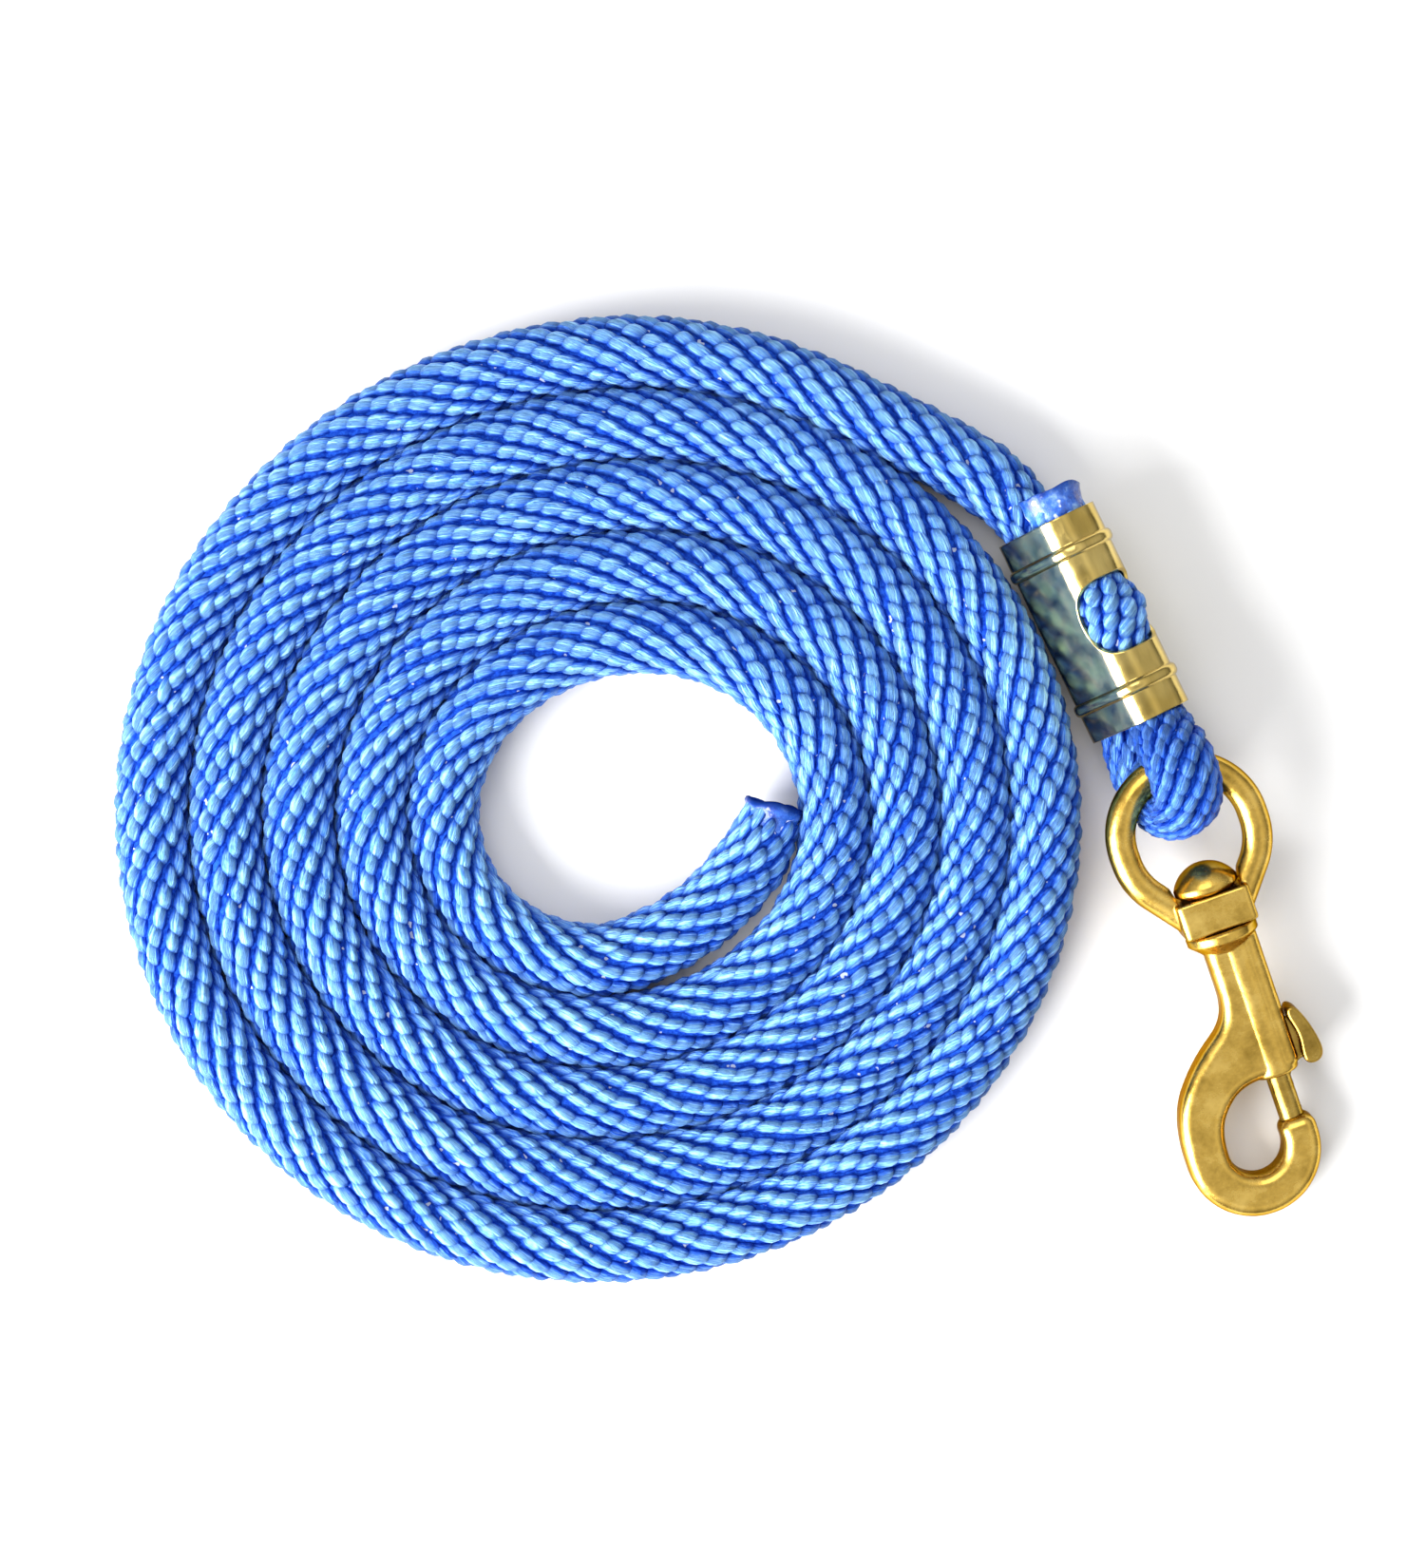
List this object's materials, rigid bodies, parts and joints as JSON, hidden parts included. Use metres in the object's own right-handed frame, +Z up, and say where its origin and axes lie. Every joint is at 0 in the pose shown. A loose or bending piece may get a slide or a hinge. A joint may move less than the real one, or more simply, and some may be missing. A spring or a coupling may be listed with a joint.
{
  "type": "lead rope",
  "caption": "Coiled round lead rope with a sheet metal rope clamp and a swivel eye bolt snap.",
  "frame": {"origin": "middle of the underside of the box round the snap and the clamp, on the table that the rope lies on", "axes": "+Z up from the table; the bolt snap lies along Y, its hook towards -Y, and leans down to the hook by 8 degrees; the coil lies towards -X"},
  "size_m": [0.2772, 0.272, 0.0422],
  "materials": {
    "rope": "solid braid of glossy multifilament yarn",
    "plated_sheet": "bright brass plate on pressed sheet",
    "cast_brass": "tumbled and polished casting",
    "spring_steel": "drawn wire"
  },
  "bodies": {
    "root": {"rope_coil": "rope", "rope_lead": "rope", "rope_in_clamp": "rope", "rope_loop": "rope", "rope_tail": "rope", "rope_clamp": "plated_sheet"},
    "eye": {"swivel_eye": "cast_brass"},
    "snap": {"snap_body": "cast_brass", "spring": "spring_steel"},
    "bolt": {"bolt": "cast_brass"}
  },
  "joints": [
    {"name": "eye_swing", "type": "hinge", "parent": "root", "child": "eye", "pos_m": [0.0032, 0.02275, 0.0212], "axis": [-1, 0, 0], "range_deg": [-75, 95]},
    {"name": "swivel", "type": "hinge", "parent": "eye", "child": "snap", "pos_m": [0.0032, -0.01289, 0.01608], "axis": [0, 0.9899, 0.1421], "continuous": true},
    {"name": "bolt_slide", "type": "slide", "parent": "snap", "child": "bolt", "axis": [0, 0.9899, 0.1421], "range_m": [0, 0.0118], "stiffness_N_per_m": 450, "springref_m": -0.008, "deforming": ["spring"]}
  ]
}
